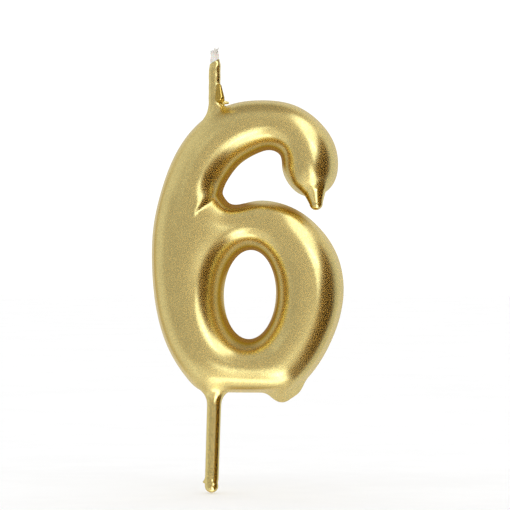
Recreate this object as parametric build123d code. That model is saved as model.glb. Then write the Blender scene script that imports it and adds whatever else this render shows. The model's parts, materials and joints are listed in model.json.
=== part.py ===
from build123d import *

import os

# Number birthday candle: a moulded wax numeral six on a pick, dipped in gold lacquer.
#
# A primed cotton wick runs straight down through the wax to just above the pick, a little behind the
# middle of the depth. The pick is pushed into the base. One dip of gold lacquer covers the numeral, the
# lower wick and the pick. It dries with a drip under the hook, another under the base and a bead on the
# wick.
#
# Millimetres. +Z is up and -Y is the front. The shapes are drawn with z = 0 at the numeral's base, and
# with x = 0 on the wick and on the pick. They are then raised to put the part's origin at the top of
# the pick's plain wall, on the pick's axis.

# Numeral, measured over its lacquer
DEPTH = 9.4  # front to back
FRONT_ROUND = 3.5  # radius between the walls and the front face
BACK_ROUND = 1.0  # radius between the walls and the flat back
FILM = 0.3  # lacquer on the numeral

# Outline of the numeral as (x, z), clockwise from the lower left corner
OUTLINE = [
    # lower left corner and the long left side
    (-0.9, 0.0), (-3.1, 0.6), (-5.1, 2.5), (-8.4, 7.7), (-10.6, 14.8), (-11.4, 22.8),
    (-11.1, 29.9), (-9.7, 36.1), (-6.9, 43.1), (-2.8, 48.3),
    # over the top and down the outside of the hook
    (2.2, 51.3), (8.4, 52.2), (14.1, 51.3), (18.6, 48.3), (21.2, 44.5), (21.9, 40.4),
    # round the end of the hook
    (20.9, 37.0), (18.2, 35.1), (15.3, 35.3), (13.1, 37.2),
    # up the inside of the hook and down to the notch
    (11.9, 40.2), (11.5, 42.4), (10.2, 43.2), (7.3, 42.6), (4.4, 40.8), (2.4, 38.3), (1.45, 35.6),
    # from the notch along the top of the bowl
    (2.4, 33.9), (6.4, 34.1), (10.4, 34.1), (14.4, 32.7), (18.6, 29.4),
    # down the right side to the base
    (21.6, 24.9), (22.9, 19.0), (22.2, 13.4), (19.9, 7.6), (17.0, 3.2), (13.8, 0.6), (9.8, 0.0), (3.0, 0.0),
]

# Counter, the oval hole through the bowl
COUNTER_CENTRE = (6.15, 17.5)
COUNTER_HALF_WIDTH = 4.65
COUNTER_HALF_HEIGHT = 7.95
COUNTER_LEAN = -2  # degrees

# Pick
PICK_RADIUS = 1.0
PICK_EMBEDDED = 11.0  # pushed up into the base
PICK_EXPOSED = 17.45  # below the base, without its lacquer
PICK_POINT = 1.6  # length of the tapered upper end
PICK_POINT_RADIUS = 0.45
PICK_FILM = 0.26
PICK_LEAN = 1.8  # degrees, with the foot to the left: the pick went in a little crooked

# Wick
WICK_SET_BACK = 1.2  # behind the middle of the depth
WICK_RADIUS = 0.8  # over the priming wax
WICK_ROOT = 48.3  # inside the numeral, just below the place where the wick leaves it
WICK_GAP = 0.4  # wax between the pick's point and the wick
PRIMED_TOP = 60.6
WICK_FILM = 0.26
WICK_FILM_TOP = 58.7
YARNS = 3
YARN_RADIUS = 0.32
YARN_GAP = 0.06  # priming wax between neighbouring yarns
YARN_PITCH = 5.0
YARN_TIPS = (61.4, 61.1, 60.9)  # the cut ends are uneven

# Lacquer drips and beads
HOOK_DRIP_ROOT = (17.55, -0.3, 35.9)
HOOK_DRIP_TIP = (18.0, -0.3, 33.5)
HOOK_DRIP_ROOT_RADIUS = 2.5
HOOK_DRIP_TIP_RADIUS = 1.0
BASE_DRIP_CENTRE = (12.2, 0.4, 0.45)
BASE_DRIP_RADIUS = 2.2
WICK_BEAD_CENTRE = (0.75, WICK_SET_BACK - 0.45, 53.3)
WICK_BEAD_RADIUS = 0.85
COLLAR_RADIUS = 2.5  # flare of lacquer where the pick leaves the base
COLLAR_DROP = 1.7  # from the base down to the pick's plain wall
COLLAR_ROOT = 1.2  # how far the flare reaches up into the numeral
COLLAR_HOLLOW = 0.3  # how far its side curves in from a straight taper

ON_BASE = (Align.CENTER, Align.CENTER, Align.MIN)
FOOT_CENTRE = PICK_RADIUS - PICK_EXPOSED


def along(start, end):
    """A plane at start that faces end."""
    return Plane(origin=start, z_dir=Vector(*end) - Vector(*start))


def rod(radius, bottom, top):
    """A round rod on the candle's upright axis."""
    return Pos(0, 0, bottom) * Cylinder(radius, top - bottom, align=ON_BASE)


def wick_rod(radius, bottom, top):
    """A round rod on the wick's axis."""
    return Pos(0, WICK_SET_BACK, 0) * rod(radius, bottom, top)


def outline(inset):
    """The numeral's outline, moved inward by inset."""
    outer = Spline(*OUTLINE, periodic=True)
    points = []
    for x, z in OUTLINE:
        heading = outer.tangent_at((x, z, 0))  # clockwise, so the inside is on its right
        points.append((x + inset * heading.Y, z - inset * heading.X))
    return Spline(*points, periodic=True)


def leaned(shape):
    """A shape of the pick's, turned with the pick about the top of its plain wall."""
    pivot = Pos(0, 0, -COLLAR_DROP)
    return pivot * Rot(0, PICK_LEAN, 0) * pivot.inverse() * shape


def numeral(inset):
    """The numeral's solid, all of its surfaces moved inward by inset."""
    counter = Ellipse(COUNTER_HALF_WIDTH + inset, COUNTER_HALF_HEIGHT + inset)
    flat = Sketch() + Face(Wire([outline(inset)])) - Pos(*COUNTER_CENTRE) * Rot(0, 0, COUNTER_LEAN) * counter
    block = extrude(Plane.XZ * flat, DEPTH / 2 - inset, both=True)
    front = block.faces().sort_by(Axis.Y)[0]
    block = fillet(front.edges(), FRONT_ROUND - inset)
    back = block.faces().sort_by(Axis.Y)[-1]
    return fillet(back.edges(), BACK_ROUND - inset)


def hook_drip():
    """The drip that hangs from the end of the hook: a short cone with a round tip."""
    length = (Vector(*HOOK_DRIP_TIP) - Vector(*HOOK_DRIP_ROOT)).length
    cone = Cone(HOOK_DRIP_ROOT_RADIUS, HOOK_DRIP_TIP_RADIUS, length, align=ON_BASE)
    return along(HOOK_DRIP_ROOT, HOOK_DRIP_TIP) * cone + Pos(*HOOK_DRIP_TIP) * Sphere(HOOK_DRIP_TIP_RADIUS)


def pick_collar():
    """The flare of lacquer round the pick, hollow-sided, with its upper part inside the numeral."""
    shoulder = (COLLAR_RADIUS, 0)
    foot = (PICK_RADIUS + PICK_FILM, -COLLAR_DROP)
    side = SagittaArc(shoulder, foot, -COLLAR_HOLLOW)
    inside = Polyline(foot, (0, -COLLAR_DROP), (0, COLLAR_ROOT), (COLLAR_RADIUS, COLLAR_ROOT), shoulder)
    return leaned(revolve(Plane.XZ * make_face([side, inside]), Axis.Z))


def pick():
    """The round pick: a taper to a blunt point at the top and a rounded foot."""
    taper = PICK_EMBEDDED - PICK_POINT
    point = Cone(PICK_RADIUS, PICK_POINT_RADIUS, PICK_POINT, align=ON_BASE)
    foot = Pos(0, 0, FOOT_CENTRE) * Sphere(PICK_RADIUS)
    return leaned(rod(PICK_RADIUS, FOOT_CENTRE, taper) + Pos(0, 0, taper) * point + foot)


def pick_film(numeral_outside):
    """Lacquer on the exposed pick, closed under its foot."""
    radius = PICK_RADIUS + PICK_FILM
    outside = rod(radius, FOOT_CENTRE, COLLAR_ROOT) + Pos(0, 0, FOOT_CENTRE) * Sphere(radius)
    return leaned(outside) - numeral_outside - pick()


def wick_film(numeral_outside):
    """Lacquer on the lower wick, with the bead that set near its root."""
    bead = Pos(*WICK_BEAD_CENTRE) * Sphere(WICK_BEAD_RADIUS)
    outside = wick_rod(WICK_RADIUS + WICK_FILM, WICK_ROOT, WICK_FILM_TOP) + bead
    return outside - numeral_outside - wick_rod(WICK_RADIUS, WICK_ROOT, WICK_FILM_TOP)


def yarn(index):
    """One of the cotton yarns twisted together in the wick."""
    bottom = PICK_EMBEDDED + WICK_GAP + YARN_RADIUS
    reach = (YARN_RADIUS + YARN_GAP / 2) / (3**0.5 / 2)  # from the wick's axis to the yarn's
    path = Helix(YARN_PITCH, YARN_TIPS[index] - bottom, reach)
    section = Plane(origin=path @ 0, z_dir=path % 0) * Circle(YARN_RADIUS)
    placed = Pos(0, WICK_SET_BACK, bottom) * Rot(0, 0, 360 / YARNS * index)
    return placed * sweep(section, path, is_frenet=True)


def build():
    """Every sub-part, as {node name: shape}."""
    wax = numeral(FILM)
    bore = wick_rod(WICK_RADIUS, PICK_EMBEDDED + WICK_GAP, PRIMED_TOP)
    yarns = [yarn(i) for i in range(YARNS)]

    base_drip = Pos(*BASE_DRIP_CENTRE) * Sphere(BASE_DRIP_RADIUS)
    outside = numeral(0) + pick_collar() + hook_drip() + base_drip
    parts = {
        "wax_numeral": wax - bore - pick(),
        "gold_film_numeral": outside - wax - bore - pick(),
        "gold_film_wick": wick_film(outside),
        "gold_film_pick": pick_film(outside),
        "support_pick": pick(),
        "wick_priming": bore - yarns,
    }
    for i, one in enumerate(yarns):
        parts[f"wick_yarn_{i + 1}"] = one
    return parts


os.makedirs("parts", exist_ok=True)
for name, shape in build().items():
    export_step(Pos(0, 0, COLLAR_DROP) * shape, f"parts/{name}.step")
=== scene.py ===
"""The looks of a gold numeral candle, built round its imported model.

Blender works in metres, +Z up and -Y to the front. Shapes are worked out in millimetres. The lacquer
and the wax are drawn from smooth fields that are negative inside, and the wick's pieces are swept from
rings of points.
"""

import json
import math

import bmesh
import bpy
import numpy as np
from mathutils import Matrix, Vector


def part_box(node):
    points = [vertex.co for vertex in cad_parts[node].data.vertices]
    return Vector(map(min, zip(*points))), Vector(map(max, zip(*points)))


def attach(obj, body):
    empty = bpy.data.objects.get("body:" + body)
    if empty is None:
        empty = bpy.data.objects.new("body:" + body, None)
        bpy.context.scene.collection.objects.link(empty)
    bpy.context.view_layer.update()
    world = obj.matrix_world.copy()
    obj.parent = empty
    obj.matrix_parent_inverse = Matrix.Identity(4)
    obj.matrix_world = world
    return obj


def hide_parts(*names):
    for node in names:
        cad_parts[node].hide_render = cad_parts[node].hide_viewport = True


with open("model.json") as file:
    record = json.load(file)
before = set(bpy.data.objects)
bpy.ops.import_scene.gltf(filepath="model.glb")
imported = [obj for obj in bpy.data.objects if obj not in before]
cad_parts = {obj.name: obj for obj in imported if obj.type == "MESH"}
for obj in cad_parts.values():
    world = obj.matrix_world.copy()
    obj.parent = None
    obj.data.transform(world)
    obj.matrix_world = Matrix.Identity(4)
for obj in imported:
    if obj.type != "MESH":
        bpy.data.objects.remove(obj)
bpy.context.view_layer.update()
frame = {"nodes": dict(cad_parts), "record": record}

MM = 0.001

# ---------------------------------------------------------------------------------------------
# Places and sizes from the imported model, in millimetres
# ---------------------------------------------------------------------------------------------


def box_mm(node):
    """A node's lowest and highest corners, in millimetres."""
    low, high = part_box(node)
    return np.array(low) / MM, np.array(high) / MM


mounts = {mount["name"]: mount for mount in frame["record"]["mounts"]}
FILM_LOW, FILM_HIGH = box_mm("gold_film_numeral")
WAX_LOW, WAX_HIGH = box_mm("wax_numeral")
PRIMED_LOW, PRIMED_HIGH = box_mm("wick_priming")
WICK_FILM_LOW, WICK_FILM_HIGH = box_mm("gold_film_wick")
PICK_FILM_LOW, _ = box_mm("gold_film_pick")
PICK_LOW, _ = box_mm("support_pick")

FILM = WAX_LOW[0] - FILM_LOW[0]  # thickness of the lacquer
TOP = FILM_HIGH[2]
BACK = FILM_HIGH[1]
PICK_AXIS = np.array(mounts["pick"]["axis"])  # from the origin towards the foot
PICK_COAT = mounts["pick"]["dims"]["r_mm"]  # radius over the lacquer
WICK_RADIUS = (PRIMED_HIGH[0] - PRIMED_LOW[0]) / 2
WICK_Y = (PRIMED_HIGH[1] + PRIMED_LOW[1]) / 2
WICK_COAT = -WICK_FILM_LOW[0]  # radius over the lacquer
FOOT = (PICK_FILM_LOW[2] + PICK_COAT) / PICK_AXIS[2]  # along the axis to the centre of the foot
PICK_RADIUS = -PICK_LOW[2] + (PICK_FILM_LOW[2] + PICK_COAT)
SLEEVE_TOP = WICK_FILM_HIGH[2]

# ---------------------------------------------------------------------------------------------
# Shape, in millimetres
# ---------------------------------------------------------------------------------------------
DRAFT = math.radians(9)  # the mould's walls lean in towards the front
FRONT_ROUND = 3.5
BACK_ROUND = 1.0
RIM = 2.4  # how far the front's edge stands in front of the middle of the depth
CROWN_RADIUS = 10.0  # of the front's bulge across a stroke
# Where the front is fuller: from and to as (x, z), spread, and the extra share of curvature
FULL_PLACES = (
    ((-7.0, 12.5), (-4.0, 8.0), 2.6, 1.2),
    ((-2.0, 6.0), (11.0, 5.0), 1.6, 1.3),
    ((16.8, 43.0), (17.4, 41.0), 2.0, 0.6),
)
BACK_DISH = 0.25  # share of the front's bulge by which the poured back sinks
RIDGE_BLUR = 0.7  # rounds the ridge where a stroke is narrower than its rounded edges
RIDGE_DEPTHS = (1.0, 2.6)  # inside the outline, between which that blur sets in
CROWN_BLUR = 0.4

# Drips and beads of lacquer: start, end, their radii, and how far each melts into what it is on
BEAK = ((17.8, 0.2, 37.8), (18.1, 0.0, 35.4), 2.15, 1.2, 1.0)
NUB = ((11.9, 1.9), (13.2, 2.9), 1.95, 2.0)  # as (x, z): it runs along the depth like the walls
NUB_DRAFT = math.radians(28)
NUB_SOFT = (0.5, 0.06)  # how far the ridge inside the drip is rounded, and how far that would widen it
WICK_BEAD = ((1.0, WICK_Y - 0.85, 54.15), (0.86, WICK_Y - 0.8, 56.2), 0.82, 0.45, 0.2)
WICK_LEDGE = ((1.7, WICK_Y - 0.6, 53.35), (2.65, WICK_Y - 0.5, 53.3), 0.35, 0.22, 0.35)
SPUR = ((-1.2, 0.0, -13.75), (-2.05, 0.0, -14.1), 0.42, 0.1, 0.5)
TIP_RISE = 0.55  # the lacquer's upper edge climbs this much for each step to the right
FILM_TIP = (0, WICK_Y, SLEEVE_TOP + 0.25)
WICK_FILLET = 2.2
WICK_ROOM = 0.02  # between the wick and what is round it
PICK_FILLET = 2.9
VALLEY = ((1.8, 37.6), (-2.4, 33.9))  # the crease that runs from the notch into the body, as (x, z)
VALLEY_START = 0.6  # how far below the wall's edge it begins
VALLEY_FLOOR = 2.0  # rounds the crease
VALLEY_FAR_SIDE = 2.2  # the side towards the bowl is this much steeper
VALLEY_ROUND = 0.7  # radius along the bottom of the crease
VALLEY_SIDES = (-0.3, 0.6)  # across the crease, between which one side gives way to the other
TIGHT_REACH = (1.5, 6.0)  # from a tight edge, between which its tightness fades away
TIGHT_BLUR = 1.0
# Where the front's edge is less rounded: from and to as (x, z), and by what share
TIGHT_EDGES = (
    ((4.5, 35.6), (13.0, 36.0), 0.55),
    ((-11.0, 36.0), (-10.0, 14.0), 0.4),
    ((-10.0, 14.0), (-4.0, 3.5), 0.4),
    ((-1.0, 1.7), (14.0, 1.7), 0.5),
    ((17.5, 4.0), (22.5, 14.0), 0.3),
)
HOLLOW_REACH = 3.5  # how far round about the share of wax is taken
HOLLOW_SHADE_SHARES = (0.54, 0.64)  # shares of wax round about between which the lacquer is painted darker: painted shade in the hollows

# ---------------------------------------------------------------------------------------------
# The numeral's outline, read from the imported lacquer as a section through its upright walls
# ---------------------------------------------------------------------------------------------
SECTION_Y = BACK - 1.6  # between the rounded edges, behind the drips
CELL = 0.25  # grid for functions of x and z
SPARE = 3.0  # width of the grid beyond the outline
FILM_HOLD = 20  # how hard the blown-up film is held down outside the outline
FILM_ROUNDS = 500
OVER_RELAXATION = 1.93


def loop_length(loop):
    """A closed curve's length."""
    return np.linalg.norm(loop - np.roll(loop, 1, axis=0), axis=1).sum()


def section_loops(node, y):
    """The closed curves, as arrays of (x, z), in which a plane of constant y cuts a node."""
    cut = bmesh.new()
    cut.from_mesh(frame["nodes"][node].data)
    bmesh.ops.remove_doubles(cut, verts=cut.verts, dist=1e-7)
    geometry = cut.verts[:] + cut.edges[:] + cut.faces[:]
    found = bmesh.ops.bisect_plane(cut, geom=geometry, plane_co=(0, y * MM, 0), plane_no=(0, 1, 0))
    edges = {item for item in found["geom_cut"] if isinstance(item, bmesh.types.BMEdge)}
    loops = []
    for edge in sorted(edges, key=lambda item: item.index):
        if edge not in edges:
            continue
        edges.discard(edge)
        loop = [edge.verts[0], edge.verts[1]]
        while True:
            following = [e for e in loop[-1].link_edges if e in edges]
            if not following:
                break
            edges.discard(following[0])
            loop.append(following[0].other_vert(loop[-1]))
        loops.append(np.array([(v.co.x / MM, v.co.z / MM) for v in loop[:-1]]))
    cut.free()
    return sorted(loops, key=loop_length)


def signed_distance(loops, x, z):
    """Distance from the points to the nearest curve, negative between the outline and the counter."""
    start = np.concatenate(loops)
    end = np.concatenate([np.roll(loop, -1, axis=0) for loop in loops])
    run = end - start
    distance = np.empty(x.size)
    for part in np.array_split(np.arange(x.size), 1 + x.size // 4000):
        px, pz = x.ravel()[part, None], z.ravel()[part, None]
        share = ((px - start[:, 0]) * run[:, 0] + (pz - start[:, 1]) * run[:, 1]) / (run**2).sum(1)
        share = np.clip(share, 0, 1)
        gap = np.hypot(px - start[:, 0] - share * run[:, 0], pz - start[:, 1] - share * run[:, 1]).min(1)
        straddles = (start[:, 1] > pz) != (end[:, 1] > pz)
        rise = np.where(run[:, 1] == 0, 1, run[:, 1])
        beyond = px < start[:, 0] + (pz - start[:, 1]) * run[:, 0] / rise
        inside = (straddles & beyond).sum(1) % 2 == 1
        distance[part] = np.where(inside, -gap, gap)
    return distance.reshape(x.shape)


class Sheet:
    """A smooth function of x and z: a quadratic B-spline on a square grid."""

    def __init__(self, origin, values):
        self.origin = origin
        self.values = values

    def __call__(self, x, z):
        across = (x - self.origin[0]) / CELL
        up = (z - self.origin[1]) / CELL
        column = np.clip(np.rint(across), 1, self.values.shape[0] - 2).astype(int)
        row = np.clip(np.rint(up), 1, self.values.shape[1] - 2).astype(int)
        across = np.clip(across - column, -0.5, 0.5)
        up = np.clip(up - row, -0.5, 0.5)
        across_weights = ((0.5 - across) ** 2 / 2, 0.75 - across**2, (0.5 + across) ** 2 / 2)
        up_weights = ((0.5 - up) ** 2 / 2, 0.75 - up**2, (0.5 + up) ** 2 / 2)
        total = 0.0
        for i, across_weight in enumerate(across_weights):
            for j, up_weight in enumerate(up_weights):
                total = total + across_weight * up_weight * self.values[column + i - 1, row + j - 1]
        return total


def blurred(values, spread):
    """A grid smoothed by a Gaussian of that spread, in millimetres."""
    reach = int(3 * spread / CELL) + 1
    weights = np.exp(-((np.arange(-reach, reach + 1) * CELL / spread) ** 2) / 2)
    weights /= weights.sum()
    for axis in (0, 1):
        pad = [(reach, reach) if axis == k else (0, 0) for k in (0, 1)]
        padded = np.pad(values, pad, mode="edge")
        length = values.shape[axis]
        pieces = [np.take(padded, range(i, i + length), axis=axis) * w for i, w in enumerate(weights)]
        values = sum(pieces)
    return values


def smooth_step(value, low, high):
    """0 below low, 1 above high, and an even slope between them."""
    share = np.clip((value - low) / (high - low), 0, 1)
    return share * share * (3 - 2 * share)


def smooth_min(a, b, reach):
    """The union of two fields, with a fillet where they meet."""
    overlap = np.maximum(reach - np.abs(a - b), 0) / reach
    return np.minimum(a, b) - overlap**2 * reach / 4


def beside(x, z, start, end):
    """Distance to a straight line from start to end, how far along it is, and which side it is on."""
    run_x, run_z = end[0] - start[0], end[1] - start[1]
    length = math.hypot(run_x, run_z)
    share = np.clip(((x - start[0]) * run_x + (z - start[1]) * run_z) / length**2, 0, 1)
    aside = np.hypot(x - start[0] - share * run_x, z - start[1] - share * run_z)
    across = ((x - start[0]) * run_z - (z - start[1]) * run_x) / length
    return aside, share, across


def bulge(distance):
    """Height over the outline of a film blown up from it, by successive over-relaxation."""
    hold = FILM_HOLD * smooth_step(distance, -0.7, 0.1)
    curvature = np.full(distance.shape, 1 / CROWN_RADIUS)
    for start, end, spread, share in FULL_PLACES:
        aside, _, _ = beside(grid_x, grid_z, start, end)
        curvature += share / CROWN_RADIUS * np.exp(-((aside / spread) ** 2) / 2)
    source = CELL**2 * curvature[1:-1, 1:-1]
    height = np.zeros_like(distance)
    i, j = np.indices(distance.shape)
    inner = np.zeros(distance.shape, bool)
    inner[1:-1, 1:-1] = True
    colours = [inner & ((i + j) % 2 == k) for k in (0, 1)]
    for _ in range(FILM_ROUNDS):
        for colour in colours:
            around = np.zeros_like(height)
            around[1:-1, 1:-1] = height[2:, 1:-1] + height[:-2, 1:-1] + height[1:-1, 2:] + height[1:-1, :-2]
            around[1:-1, 1:-1] += source
            target = around / (4 + CELL**2 * hold)
            height[colour] += OVER_RELAXATION * (target - height)[colour]
    return height


loops = section_loops("gold_film_numeral", SECTION_Y)
wall_loops = [loops[0], loops[-1]]  # the counter and the outer outline
grid_low = loops[-1].min(0) - SPARE
grid_high = loops[-1].max(0) + SPARE
grid_x, grid_z = np.meshgrid(
    np.arange(grid_low[0], grid_high[0], CELL), np.arange(grid_low[1], grid_high[1], CELL), indexing="ij"
)
exact = signed_distance(wall_loops, grid_x, grid_z)
deep = smooth_step(-exact, *RIDGE_DEPTHS)
rounded = blurred(exact, RIDGE_BLUR)
wall_distance = Sheet(grid_low, exact + deep * (rounded - exact))
crown = Sheet(grid_low, blurred(bulge(exact), CROWN_BLUR))


def valley_distance(x, z):
    """How far inside a wall a point of the front would be if the notch ran on as a fading crease."""
    aside, share, across = beside(x, z, *VALLEY)  # across is positive towards the bowl
    steeper = 1 + (VALLEY_FAR_SIDE - 1) * smooth_step(across, *VALLEY_SIDES)
    groove = np.hypot(aside * steeper, VALLEY_ROUND) - VALLEY_ROUND
    return -groove - VALLEY_START - (FRONT_ROUND - VALLEY_START) * share


# Share of wax round about: over half inside the counter and the notch, where the lacquer is painted darker
# as painted shade
hollow = Sheet(grid_low, blurred(smooth_step(-exact, -0.2, 0.2), HOLLOW_REACH))
tightness = np.ones_like(exact)
for edge_start, edge_end, tight_share in TIGHT_EDGES:
    edge_gap, _, _ = beside(grid_x, grid_z, edge_start, edge_end)
    tightness = np.minimum(tightness, 1 - tight_share * (1 - smooth_step(edge_gap, *TIGHT_REACH)))
tightness = blurred(tightness, TIGHT_BLUR)
front_round = Sheet(grid_low, FRONT_ROUND * tightness)
front_distance = Sheet(
    grid_low,
    -smooth_min(-(exact + deep * (rounded - exact)), -valley_distance(grid_x, grid_z), VALLEY_FLOOR),
)

# ---------------------------------------------------------------------------------------------
# Fields: functions of x, y and z that are negative inside
# ---------------------------------------------------------------------------------------------


def rounded_corner(wall, face, radius):
    """Two half-spaces' common part, with its edge rounded."""
    u = wall + radius
    v = face + radius
    return np.minimum(np.maximum(u, v), 0) + np.hypot(np.maximum(u, 0), np.maximum(v, 0)) - radius


def capsule(start, end, start_radius, end_radius):
    """A straight rod with round ends."""
    start = np.array(start, float)
    run = np.array(end, float) - start

    def field(x, y, z):
        px, py, pz = x - start[0], y - start[1], z - start[2]
        share = np.clip((px * run[0] + py * run[1] + pz * run[2]) / (run @ run), 0, 1)
        gap = np.sqrt((px - share * run[0]) ** 2 + (py - share * run[1]) ** 2 + (pz - share * run[2]) ** 2)
        return gap - start_radius - share * (end_radius - start_radius)

    return field


def numeral(x, y, z):
    """The numeral without drips: drafted walls, a rounded front that bulges and a slightly sunken back."""
    bump = crown(x, z)
    lean = math.tan(DRAFT) * np.maximum(BACK - BACK_ROUND - y, 0)
    front = rounded_corner(front_distance(x, z) + lean, -y - RIM - bump, front_round(x, z))
    back = rounded_corner(wall_distance(x, z) + lean, y - BACK + BACK_DISH * bump, BACK_ROUND)
    return np.maximum(front, back)


def wick_rod(bottom, top):
    """The wick, between two heights, with a little room round it."""
    return capsule((0, WICK_Y, bottom), (0, WICK_Y, top), WICK_RADIUS + WICK_ROOM, WICK_RADIUS + WICK_ROOM)


def on_pick(distance):
    """The point of the pick's axis at a distance below the origin."""
    return PICK_AXIS * distance


beak = capsule(*BEAK[:4])
wick_bead = capsule(*WICK_BEAD[:4])
wick_ledge = capsule(*WICK_LEDGE[:4])
spur = capsule(*SPUR[:4])
wick_root = TOP - 6
wick_core = wick_rod(wick_root, SLEEVE_TOP + 4)
wick_bore = wick_rod(PRIMED_LOW[2] + 0.8, TOP + 2)
pick_sleeve = capsule(on_pick(-5), on_pick(FOOT - 1.35), PICK_COAT + 0.02, PICK_COAT - 0.04)
pick_bead = capsule(on_pick(FOOT - 0.05), on_pick(FOOT), PICK_COAT - 0.05, PICK_COAT - 0.05)
pick_core = capsule(on_pick(-5), on_pick(FOOT), PICK_RADIUS + 0.01, PICK_RADIUS + 0.01)


def nub(x, y, z):
    """The drip under the base: widest at the back and gone at the front's edge."""
    gap, _, _ = beside(x, z, NUB[0], NUB[1])
    aside = np.hypot(gap, NUB_SOFT[0]) - NUB_SOFT[1] - NUB[2]
    cone = (aside + math.tan(NUB_DRAFT) * (BACK - BACK_ROUND - y)) * math.cos(NUB_DRAFT)
    return rounded_corner(np.maximum(cone, aside), y - BACK, BACK_ROUND)


def wick_sleeve(x, y, z):
    """The lacquered wick, whose coat thins out towards its slanted upper edge."""
    below_edge = FILM_TIP[2] + (x * TIP_RISE) - z
    thinning = (WICK_COAT - WICK_RADIUS - 0.06) * (1 - smooth_step(below_edge, 0.0, 1.2))
    lump = 0.03 * np.sin(2.1 * z + 1.0) * np.sin(1.3 * z)
    return np.maximum(np.hypot(x, y - WICK_Y) - WICK_COAT + thinning - lump, wick_root - z)


def coat(x, y, z):
    """Everything inside the outer surface of the lacquer."""
    field = np.maximum(smooth_min(numeral(x, y, z), nub(x, y, z), NUB[3]), y - BACK)
    field = smooth_min(field, beak(x, y, z), BEAK[4])
    field = smooth_min(field, wick_sleeve(x, y, z), WICK_FILLET)
    field = smooth_min(field, wick_bead(x, y, z), WICK_BEAD[4])
    field = smooth_min(field, wick_ledge(x, y, z), WICK_LEDGE[4])
    pick = smooth_min(pick_sleeve(x, y, z), pick_bead(x, y, z), 0.4)
    pick = smooth_min(pick, spur(x, y, z), SPUR[4])
    return smooth_min(field, pick, PICK_FILLET)


def core(x, y, z):
    """Everything under the lacquer: the wax, the wick and the pick."""
    field = smooth_min(numeral(x, y, z) + FILM, wick_core(x, y, z), 0.3)
    return smooth_min(field, pick_core(x, y, z), 0.3)


# ---------------------------------------------------------------------------------------------
# Meshes from fields
# ---------------------------------------------------------------------------------------------


def gradient(field, points):
    """The field's slope at points, an array of (x, y, z)."""
    step = 0.02
    slopes = []
    for axis in np.eye(3) * step:
        ahead = field(*(points + axis).T)
        behind = field(*(points - axis).T)
        slopes.append((ahead - behind) / (2 * step))
    return np.array(slopes).T


def settle(field, points, rounds=3):
    """Moves points onto the field's surface."""
    for _ in range(rounds):
        slope = gradient(field, points)
        points = points - slope * (field(*points.T) / (slope**2).sum(1))[:, None]
    return points


def surface(field, low, high, cell, relax=3):
    """A field's surface inside a box, as points and quads that face outward, by the surface-nets method."""
    axes = [low[k] + cell * np.arange(int((high[k] - low[k]) / cell) + 2) for k in range(3)]
    nodes = np.array(np.meshgrid(*axes, indexing="ij"))
    values = field(*nodes)
    cells = tuple(n - 1 for n in values.shape)
    total = np.zeros((3,) + cells)
    count = np.zeros(cells)
    crossings = []
    for axis in range(3):
        near = np.take(values, range(values.shape[axis] - 1), axis=axis)
        far = np.take(values, range(1, values.shape[axis]), axis=axis)
        crosses = (near < 0) != (far < 0)
        share = np.where(crosses, near / np.where(crosses, near - far, 1), 0)
        spot = np.take(nodes, range(values.shape[axis] - 1), axis=axis + 1).copy()
        spot[axis] += share * cell
        crossings.append((crosses, near < 0))
        sides = [k for k in range(3) if k != axis]
        for a in (0, 1):
            for b in (0, 1):
                window = [slice(None)] * 3
                window[sides[0]] = slice(a, cells[sides[0]] + a)
                window[sides[1]] = slice(b, cells[sides[1]] + b)
                window = tuple(window)
                count += crosses[window]
                total += np.where(crosses[window], spot[(slice(None),) + window], 0)
    active = count > 0
    number = np.full(cells, -1)
    number[active] = np.arange(active.sum())
    points = (total[:, active] / count[active]).T
    quads = []
    for axis, (crosses, inward) in enumerate(crossings):
        one, two = ((axis + 1) % 3, (axis + 2) % 3)
        window = [slice(None)] * 3
        window[one] = slice(1, values.shape[one] - 1)
        window[two] = slice(1, values.shape[two] - 1)
        spots = np.argwhere(crosses[tuple(window)])
        spots[:, one] += 1
        spots[:, two] += 1
        corners = []
        for a, b in ((1, 1), (0, 1), (0, 0), (1, 0)):
            shifted = spots.copy()
            shifted[:, one] -= a
            shifted[:, two] -= b
            corners.append(number[tuple(shifted.T)])
        quad = np.array(corners).T
        outward = inward[tuple(spots.T)]
        quad[~outward] = quad[~outward][:, ::-1]
        quads.append(quad)
    quads = np.concatenate(quads)
    points = settle(field, points)
    ends = np.concatenate([quads, np.roll(quads, -1, axis=1)]).reshape(2, -1)
    valence = np.maximum(np.bincount(ends[0], minlength=len(points)), 1)
    for _ in range(relax):
        around = np.array([np.bincount(ends[0], points[ends[1], k], len(points)) for k in range(3)]).T
        pull = around / valence[:, None] - points
        points = settle(field, points + 0.5 * pull, rounds=1)
    return settle(field, points, rounds=2), quads


def add_faces(made, points, faces):
    """Adds points and the faces between them to a bmesh."""
    verts = [made.verts.new(p) for p in points]
    for face in faces:
        made.faces.new([verts[i] for i in face])


def trim(made, point, normal):
    """Cuts off what lies on the normal's side of a plane."""
    geometry = made.verts[:] + made.edges[:] + made.faces[:]
    bmesh.ops.bisect_plane(made, geom=geometry, plane_co=point, plane_no=normal, clear_outer=True, dist=1e-5)


def on_plane(points, point, normal):
    """Which points lie on a plane."""
    return np.abs((points - np.array(point)) @ np.array(normal)) < 1e-4


def film_piece(name, low, high, outer_cell, inner_cell, planes):
    """A closed shell of lacquer between the coat's surface and the core's, cut square at the planes."""
    shell = bmesh.new()
    for field, cell, flip in ((coat, outer_cell, False), (core, inner_cell, True)):
        points, quads = surface(field, low, high, cell)
        add_faces(shell, points, quads[:, ::-1] if flip else quads)
    for point, normal in planes:
        trim(shell, point, normal)
    for point, normal in planes:
        rim = [e for e in shell.edges if len(e.link_faces) == 1]
        rim = [e for e in rim if all(on_plane(np.array([v.co for v in e.verts]), point, normal))]
        bmesh.ops.bridge_loops(shell, edges=rim)
    bmesh.ops.recalc_face_normals(shell, faces=shell.faces)
    return finished(name, shell, planes, lambda x, y, z: (coat(x, y, z), core(x, y, z)))


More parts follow.
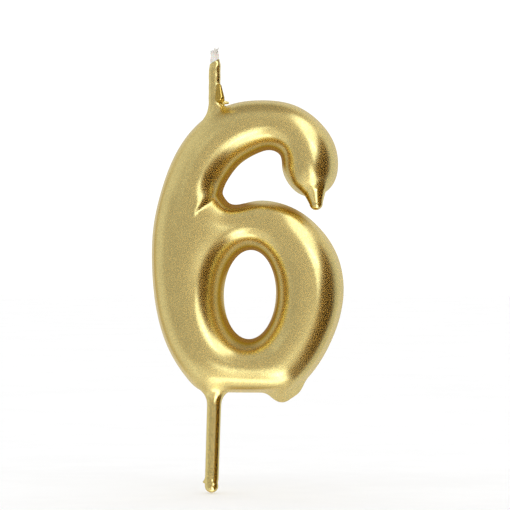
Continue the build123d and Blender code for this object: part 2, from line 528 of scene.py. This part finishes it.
def finished(name, made, planes=(), skins=None):
    """An object in metres from a bmesh in millimetres. With skins, it gets the fields' own normals."""
    mesh = bpy.data.meshes.new(name)
    made.to_mesh(mesh)
    made.free()
    points = np.empty(len(mesh.vertices) * 3)
    mesh.vertices.foreach_get("co", points)
    points = points.reshape(-1, 3)
    mesh.shade_smooth()
    if skins:
        outer, inner = skins(*points.T)
        is_outer = (np.abs(outer) < np.abs(inner))[:, None]
        normals = np.where(is_outer, gradient(coat, points), -gradient(core, points))
        normals /= np.linalg.norm(normals, axis=1)[:, None]
        corners = np.empty(len(mesh.loops), int)
        mesh.loops.foreach_get("vertex_index", corners)
        split = normals[corners]
        for point, normal in planes:
            flat = on_plane(points, point, normal)
            for face in mesh.polygons:
                if all(flat[i] for i in face.vertices):
                    split[list(face.loop_indices)] = face.normal
        mesh.normals_split_custom_set(split)
        past_walls = smooth_min(numeral(*points.T), nub(*points.T), NUB[3])
        x, _, z = points.T
        upright = 1 - smooth_step(np.abs(normals[:, 1]), 0.3, 0.6)
        glossy = smooth_step(past_walls, 0.15, 0.8) * np.where(z > TOP - 2, 0.15, 1)
        bead = 1 - smooth_step(wick_bead(*points.T), 0.02, 0.12)
        # Painted shade: the lacquer's colour darkens on upright walls in the counter and the notch; it is
        # also darker on the wick's bead
        hollow_shade_and_bead = np.maximum(upright * smooth_step(hollow(x, z), *HOLLOW_SHADE_SHARES), 0.85 * bead)
        named = {"drip": np.maximum(glossy, bead), "hollow_shade_and_bead": hollow_shade_and_bead}
        for attribute, values in named.items():
            mesh.attributes.new(attribute, "FLOAT", "POINT").data.foreach_set("value", values)
    mesh.transform(Matrix.Scale(MM, 4))
    made_object = bpy.data.objects.new(name, mesh)
    bpy.context.scene.collection.objects.link(made_object)
    return made_object


# ---------------------------------------------------------------------------------------------
# Pieces
# ---------------------------------------------------------------------------------------------
NUMERAL_CELL = 0.3
WAX_CELL = 0.4
WICK_SEAM = ((0, 0, TOP + 0.05), (0, 0, 1))
PICK_SEAM = ((0, 0, 0), tuple(PICK_AXIS))
REACH = 1.0  # of a mesh's box beyond its piece
FRONT_REACH = 2.5 * REACH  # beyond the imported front, which has no bulge
WAX_GAP = 0.02  # between the wax and its film


def opposite(plane):
    """The same plane, facing the other way."""
    return plane[0], tuple(-np.array(plane[1]))


film_numeral = film_piece(
    "lacquer_numeral",
    (FILM_LOW[0] - REACH, FILM_LOW[1] - FRONT_REACH, -REACH),
    (FILM_HIGH[0] + REACH, BACK + REACH, WICK_SEAM[0][2] + REACH),
    NUMERAL_CELL,
    WAX_CELL,
    (WICK_SEAM, PICK_SEAM),
)
film_wick = film_piece(
    "lacquer_wick",
    (-2.5, WICK_Y - 2.5, WICK_SEAM[0][2] - REACH / 2),
    (2.9, WICK_Y + 2.5, FILM_TIP[2] + 2),
    0.13,
    0.16,
    (opposite(WICK_SEAM), (FILM_TIP, tuple(Vector((-TIP_RISE, 0, 1)).normalized()))),
)
foot_low = on_pick(FOOT)
film_pick = film_piece(
    "lacquer_pick",
    (foot_low[0] - 2.6, -2.6, foot_low[2] - 2),
    (2.9, 2.6, REACH / 2),
    0.15,
    0.18,
    (opposite(PICK_SEAM),),
)
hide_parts("gold_film_numeral")
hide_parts("gold_film_wick")
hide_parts("gold_film_pick")


def wax(x, y, z):
    """The wax casting: the numeral under its film, without the wick's channel and the pick's socket."""
    channels = np.minimum(wick_bore(x, y, z), pick_core(x, y, z))
    return np.maximum(numeral(x, y, z) + FILM + WAX_GAP, -channels)


wax_mesh = bmesh.new()
add_faces(wax_mesh, *surface(wax, WAX_LOW - FRONT_REACH, WAX_HIGH + REACH, WAX_CELL))
wax_casting = finished("wax_casting", wax_mesh)
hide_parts("wax_numeral")
films = (film_numeral, film_wick, film_pick)
for piece, slot in [(film, "gold_lacquer") for film in films] + [(wax_casting, "wax")]:
    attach(piece, "root")

# The wick: yarns of twisted strands that run up through priming wax and fray at their cut ends
YARN_PITCH = 5.0
YARN_RADIUS = 0.32
YARN_REACH = 0.404  # from the wick's axis to a yarn's
YARN_LEAD = math.atan(2 * math.pi * YARN_REACH / YARN_PITCH)
STRANDS = 6  # round one more in the middle
STRAND_RADIUS = 0.112
STRAND_REACH = 0.2
STRAND_PITCH = 2.3
FRAY = 1.3  # length over which the strands come apart
FRAY_SPREAD = 0.3
ROPE_STEP = 0.2
ROPE_SIDES = 8
PRIMING_SIDES = 36


def add_walls(made, rings):
    """Adds the faces between neighbouring rings of vertices."""
    sides = len(rings[0])
    for low, high in zip(rings, rings[1:]):
        for i in range(sides):
            j = (i + 1) % sides
            made.faces.new((low[i], low[j], high[j], high[i]))


def rope(made, centres, radii, sides):
    """Adds a closed round tube along an upright line of centres."""
    turns = np.arange(sides) * 2 * math.pi / sides
    rings = []
    for centre, radius in zip(centres, radii):
        ring = [centre + radius * np.array((math.cos(t), math.sin(t), 0)) for t in turns]
        rings.append([made.verts.new(p) for p in ring])
    add_walls(made, rings)
    made.faces.new(rings[0][::-1])
    made.faces.new(rings[-1])


def yarn_piece(index):
    """One yarn: six strands twisted round a seventh, a little apart and uneven at the cut end."""
    low, high = box_mm(f"wick_yarn_{index + 1}")
    start = low[2] + YARN_RADIUS * math.sin(YARN_LEAD)
    made = bmesh.new()
    for strand in range(STRANDS + 1):
        end = high[2] - 0.35 * abs(math.sin(2.3 * strand + 1.7 * index))
        z = np.linspace(start, end, int((end - start) / ROPE_STEP) + 1)
        turn = 2 * math.pi * ((z - start) / YARN_PITCH + index / 3)
        own_turn = 2 * math.pi * ((start - z) / STRAND_PITCH + strand / STRANDS)
        loose = np.clip((z - high[2] + FRAY) / FRAY, 0, 1) ** 2
        reach = STRAND_REACH if strand < STRANDS else 0
        reach = reach + FRAY_SPREAD * loose * abs(math.cos(strand + index))
        x = YARN_REACH * np.cos(turn) + reach * np.cos(own_turn)
        y = WICK_Y + YARN_REACH * np.sin(turn) + reach * np.sin(own_turn)
        radii = STRAND_RADIUS * (1 - 0.45 * loose)
        rope(made, np.array((x, y, z)).T, radii, ROPE_SIDES)
    piece = finished(f"cotton_yarn_{index + 1}", made)
    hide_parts(f"wick_yarn_{index + 1}")
    return piece


def priming_piece():
    """The wax that fills the wick: a rod with a soft ridge over each yarn and an uneven upper end."""
    made = bmesh.new()
    sides = PRIMING_SIDES
    angles = np.arange(sides) * 2 * math.pi / sides
    start = box_mm("wick_yarn_1")[0][2]
    heights = np.arange(PRIMED_LOW[2], PRIMED_HIGH[2], ROPE_STEP)
    rings = []
    for i, z in enumerate(heights):
        lobes = np.cos(3 * (angles - 2 * math.pi * (z - start) / YARN_PITCH))
        radius = WICK_RADIUS - 0.07 * (1 - lobes)
        if i in (0, len(heights) - 1):
            radius = radius * 0.86
        lift = 0.22 * np.sin(2 * angles + 0.6) * (i == len(heights) - 1)
        ring = np.array((radius * np.cos(angles), WICK_Y + radius * np.sin(angles), z + lift)).T
        rings.append([made.verts.new(p) for p in ring])
    add_walls(made, rings)
    for ring, height, flip in ((rings[0], heights[0], True), (rings[-1], heights[-1] - 0.1, False)):
        middle = made.verts.new((0, WICK_Y, height))
        for i in range(sides):
            corners = (ring[i], ring[(i + 1) % sides], middle)
            made.faces.new(corners[::-1] if flip else corners)
    piece = finished("priming", made)
    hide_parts("wick_priming")
    return piece


yarns = [yarn_piece(i) for i in range(3)]
priming = priming_piece()
for piece, slot in [(priming, "priming_wax")] + [(one, "cotton") for one in yarns]:
    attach(piece, "root")

# ---------------------------------------------------------------------------------------------
# Camera, floor and light
# ---------------------------------------------------------------------------------------------
VIEW_DISTANCE = 600.0
VIEW_WIDTH = 90.8  # seen at the depth of the outline
VIEW_TURN = math.radians(3)  # the camera stands a little to the right of straight ahead
AIM = Vector((7.15, 2.0, 26.26))
SENSOR = 36.0
FLOOR_HALF = 3000.0

camera_data = bpy.data.cameras.new("camera")
camera_data.sensor_width = SENSOR
camera_data.lens = SENSOR * VIEW_DISTANCE / VIEW_WIDTH
camera = bpy.data.objects.new("camera", camera_data)
camera.location = (AIM + VIEW_DISTANCE * Vector((math.sin(VIEW_TURN), -math.cos(VIEW_TURN), 0))) * MM
camera.rotation_euler = (math.pi / 2, 0, VIEW_TURN)
bpy.context.scene.collection.objects.link(camera)
bpy.context.scene.camera = camera
bpy.context.scene.view_settings.view_transform = "Standard"

floor_height = foot_low[2] - PICK_COAT - 0.05
floor_mesh = bmesh.new()
corner_signs = ((-1, -1), (1, -1), (1, 1), (-1, 1))
floor_corners = [(x * FLOOR_HALF, y * FLOOR_HALF, floor_height) for x, y in corner_signs]
add_faces(floor_mesh, floor_corners, [(0, 1, 2, 3)])
floor = finished("floor", floor_mesh)
floor.visible_glossy = False


class Nodes:
    """Short calls that build a node tree."""

    def __init__(self, tree):
        self.tree = tree
        tree.nodes.clear()

    def add(self, kind, settings=None, **inputs):
        node = self.tree.nodes.new("ShaderNode" + kind)
        for name, value in (settings or {}).items():
            setattr(node, name, value)
        for name, value in inputs.items():
            self.feed(node.inputs[name.replace("_", " ")], value)
        return node

    def feed(self, socket, value):
        if isinstance(value, bpy.types.NodeSocket):
            self.tree.links.new(value, socket)
        else:
            socket.default_value = value

    def math(self, operation, *values, clamp=False):
        node = self.tree.nodes.new("ShaderNodeMath")
        node.operation = operation
        node.use_clamp = clamp
        for socket, value in zip(node.inputs, values):
            self.feed(socket, value)
        return node.outputs[0]

    def step(self, value, low, high, at_low=0.0, at_high=1.0):
        node = self.tree.nodes.new("ShaderNodeMapRange")
        node.interpolation_type = "SMOOTHSTEP"
        for socket, given in zip(node.inputs, (value, low, high, at_low, at_high)):
            self.feed(socket, given)
        return node.outputs[0]


def toward(azimuth, elevation):
    """A direction, from degrees to the right of the numeral's front (-Y) and degrees up."""
    a, e = math.radians(azimuth), math.radians(elevation)
    return Vector((math.sin(a) * math.cos(e), -math.cos(a) * math.cos(e), math.sin(e)))


# The room as the lacquer sees it. A step is two angles in degrees and the levels at them.
LEFT_ROOM = (-92, -64, 0.74, 0.48)
DARK_GAP = (16, 50, 1.0, 0.03)
FAR_ROOM = (102, 120, 0.0, 0.74)
STEEP = (38, 62)  # up or down, between which the room gives way to its ceiling and floor
STEEP_LEVEL = 0.55
TABLE = (-62, -76, 0.0, 0.45)  # light that comes up from straight below
SEEN_LEVEL = 1.1  # brightness of the plain white that is seen, and that lights the rest
# Softboxes: from, to, half width, soft edge (all in degrees) and strength. A negative one is a dark panel.
SOFTBOXES = (
    ((32, 10), (47, 23), 6, 9, 1.9),
    ((51, 31), (94, 54), 8, 11, 1.9),
    ((10, -22), (24, -38), 4, 11, 1.5),
    ((25, -44), (44, -60), 8, 10, 1.9),
    ((-10, -78), (40, -80), 6, 8, 1.3),
    ((-80, -50), (-28, -45), 10, 14, 0.28),
    ((-62, 36), (-34, 28), 4, 12, 0.22),
    ((150, 66), (-150, 66), 12, 18, -0.25),
)


def new_material(name):
    """An empty node material, and the calls that fill it."""
    material = bpy.data.materials.new(name)
    material.use_nodes = True
    return material, Nodes(material.node_tree)


def studio():
    """The world: plain white to the eye, and to the lacquer a white room with softboxes and a dark gap."""
    world = bpy.data.worlds.new("studio")
    bpy.context.scene.world = world
    world.use_nodes = True
    world.cycles.sampling_method = "NONE"
    n = Nodes(world.node_tree)
    direction = n.add("TexCoord").outputs["Generated"]
    parts = n.add("SeparateXYZ", Vector=direction)
    right, behind, up = parts.outputs
    degrees = 180 / math.pi
    turn = n.math("MULTIPLY", n.math("ARCTAN2", right, n.math("MULTIPLY", behind, -1.0)), degrees)
    rise = n.math("MULTIPLY", n.math("ARCSINE", up), degrees)
    left_room = n.step(turn, *LEFT_ROOM)
    gap = n.step(turn, *DARK_GAP)
    far_room = n.step(turn, *FAR_ROOM)
    level = n.math("ADD", n.math("MULTIPLY", left_room, gap), far_room)
    steep = n.step(n.math("ABSOLUTE", rise), *STEEP)
    walls = n.math("MULTIPLY", level, n.math("SUBTRACT", 1.0, steep))
    level = n.math("ADD", walls, n.math("MULTIPLY", steep, STEEP_LEVEL))
    level = n.math("ADD", level, n.step(rise, *TABLE))
    for start, end, half_width, soft, strength in SOFTBOXES:
        near, far = toward(*start), toward(*end)
        run = far - near
        offset = n.add("VectorMath", {"operation": "SUBTRACT"})
        n.feed(offset.inputs[0], direction)
        offset.inputs[1].default_value = near
        product = n.add("VectorMath", {"operation": "DOT_PRODUCT"})
        n.feed(product.inputs[0], offset.outputs[0])
        product.inputs[1].default_value = run / run.length_squared
        share = n.math("MULTIPLY", product.outputs["Value"], 1.0, clamp=True)
        nearest = n.add("VectorMath", {"operation": "MULTIPLY_ADD"})
        nearest.inputs[0].default_value = run
        n.feed(nearest.inputs[1], share)
        nearest.inputs[2].default_value = near
        distance = n.add("VectorMath", {"operation": "DISTANCE"})
        n.feed(distance.inputs[0], direction)
        n.feed(distance.inputs[1], nearest.outputs[0])
        inner, outer = math.radians(half_width), math.radians(half_width + soft)
        level = n.math("ADD", level, n.step(distance.outputs["Value"], inner, outer, strength, 0.0))
    seen = n.add("LightPath").outputs["Is Glossy Ray"]
    mix = n.add("Mix", {"data_type": "FLOAT"})
    n.feed(mix.inputs[0], seen)
    n.feed(mix.inputs[2], SEEN_LEVEL)
    n.feed(mix.inputs[3], level)
    background = n.add("Background", Color=(1, 1, 1, 1), Strength=mix.outputs[0])
    n.add("OutputWorld", Surface=background.outputs[0])


studio()


def tinted(n, colour, shade):
    """A colour made lighter and darker by a factor."""
    product = n.add("VectorMath", {"operation": "SCALE"})
    n.feed(product.inputs["Scale"], shade)
    n.feed(product.inputs[0], colour)
    return product.outputs[0]


def mixed(n, share, one, other):
    """A colour between two, as (r, g, b)."""
    mix = n.add("Mix", {"data_type": "RGBA"})
    n.feed(mix.inputs[0], share)
    n.feed(mix.inputs[6], (*one, 1))
    n.feed(mix.inputs[7], (*other, 1))
    return mix.outputs[2]


# The lacquer's colours, each as on the open surface and darker: the darker one is painted shade in the
# counter and the notch, and also colours the wick's bead
FLAKES = ((0.94, 0.91, 0.43), (0.56, 0.40, 0.08))
FLAKES_AT_A_SLANT = ((1.0, 0.97, 0.85), (0.45, 0.25, 0.04))
BINDER = ((0.72, 0.345, 0.012), (0.48, 0.25, 0.012))
BINDER_SHARE = 0.38
FLAKE_SCALE = 3600.0
CLOUD_SCALE = 420.0


def gold_lacquer():
    """Satin gold paint: fine flakes in a clear binder, glossier where it ran, with painted shade darkening
    it in the counter and the notch, and darker on the wick's bead.
    """
    material, n = new_material("gold_lacquer")
    where = n.add("TexCoord").outputs["Object"]
    drip = n.add("Attribute", {"attribute_name": "drip"}).outputs["Fac"]
    # Painted shade: the mask that darkens the colours in the counter, the notch and on the wick's bead
    hollow_shade_and_bead = n.add("Attribute", {"attribute_name": "hollow_shade_and_bead"}).outputs["Fac"]
    matt = n.math("SUBTRACT", 1.0, n.math("MULTIPLY", drip, 0.8))
    flakes = n.add("TexNoise", Vector=where, Scale=FLAKE_SCALE, Detail=1.0).outputs["Fac"]
    clouds = n.add("TexNoise", Vector=where, Scale=CLOUD_SCALE, Detail=3.0).outputs["Fac"]
    bump = n.add("Bump", Height=flakes, Strength=n.math("MULTIPLY", matt, 0.13), Distance=0.00005)
    glint = n.step(flakes, 0.32, 0.7, 0.9, 1.1)
    mottle = n.step(clouds, 0.3, 0.7, 0.97, 1.03)
    shade = n.math("MULTIPLY", glint, mottle)
    rough = n.step(drip, 0, 1, 0.26, 0.13)
    satin = n.add(
        "BsdfPrincipled",
        Base_Color=tinted(n, mixed(n, hollow_shade_and_bead, *FLAKES), shade),
        Metallic=1.0,
        Roughness=n.math("ADD", rough, n.step(flakes, 0.3, 0.7, 0.03, -0.02)),
        Specular_Tint=mixed(n, hollow_shade_and_bead, *FLAKES_AT_A_SLANT),
        Normal=bump.outputs[0],
    )
    body = n.add(
        "BsdfPrincipled",
        Base_Color=tinted(n, mixed(n, hollow_shade_and_bead, *BINDER), shade),
        Metallic=1.0,
        Roughness=0.6,
        Normal=bump.outputs[0],
    )
    both = n.add("MixShader")
    n.feed(both.inputs[0], BINDER_SHARE)
    n.feed(both.inputs[1], satin.outputs[0])
    n.feed(both.inputs[2], body.outputs[0])
    n.add("OutputMaterial", Surface=both.outputs[0])
    return material


def matt_material(name, dark, light, grain, rough, bump_height, soft):
    """A material mottled between two colours by a noise whose scale is given along x, y and z."""
    material, n = new_material(name)
    where = n.add("VectorMath", {"operation": "MULTIPLY"})
    n.feed(where.inputs[0], n.add("TexCoord").outputs["Object"])
    where.inputs[1].default_value = grain
    coarse = n.add("TexNoise", Vector=where.outputs[0], Scale=1.0, Detail=4.0).outputs["Fac"]
    fine = n.add("TexNoise", Vector=where.outputs[0], Scale=5.0, Detail=2.0).outputs["Fac"]
    both = n.math("ADD", n.math("MULTIPLY", coarse, 0.65), n.math("MULTIPLY", fine, 0.35))
    bump = n.add("Bump", Height=both, Strength=0.5, Distance=bump_height)
    surface_node = n.add(
        "BsdfPrincipled",
        Base_Color=mixed(n, n.step(both, 0.35, 0.65), dark, light),
        Roughness=n.step(both, 0.3, 0.7, rough + 0.06, rough - 0.06),
        Normal=bump.outputs[0],
        Subsurface_Weight=soft,
        Subsurface_Scale=0.002,
    )
    n.add("OutputMaterial", Surface=surface_node.outputs[0])
    return material


wood = frame["nodes"]["support_pick"]
# Matt materials: dark and light colour, grain along x, y and z, roughness, bump in metres, softness
MATT = (
    ("wax", (0.80, 0.72, 0.52), (0.88, 0.82, 0.66), (300, 300, 300), 0.42, 0.00008, 0.3, [wax_casting]),
    ("priming", (0.66, 0.62, 0.55), (0.80, 0.77, 0.71), (1200, 1200, 700), 0.5, 0.00004, 0.2, [priming]),
    ("cotton", (0.62, 0.58, 0.51), (0.86, 0.83, 0.77), (6000, 6000, 900), 0.9, 0.00003, 0.0, yarns),
    ("floor", (0.93, 0.93, 0.93), (0.96, 0.96, 0.96), (30, 30, 30), 0.85, 0.00002, 0.0, [floor]),
    ("wood", (0.50, 0.33, 0.17), (0.72, 0.53, 0.31), (2600, 2600, 120), 0.62, 0.00005, 0.0, [wood]),
)
finishes = [(gold_lacquer(), films)]
for *look, pieces in MATT:
    finishes.append((matt_material(*look), pieces))
for material, pieces in finishes:
    for piece in pieces:
        piece.data.materials.clear()
        piece.data.materials.append(material)
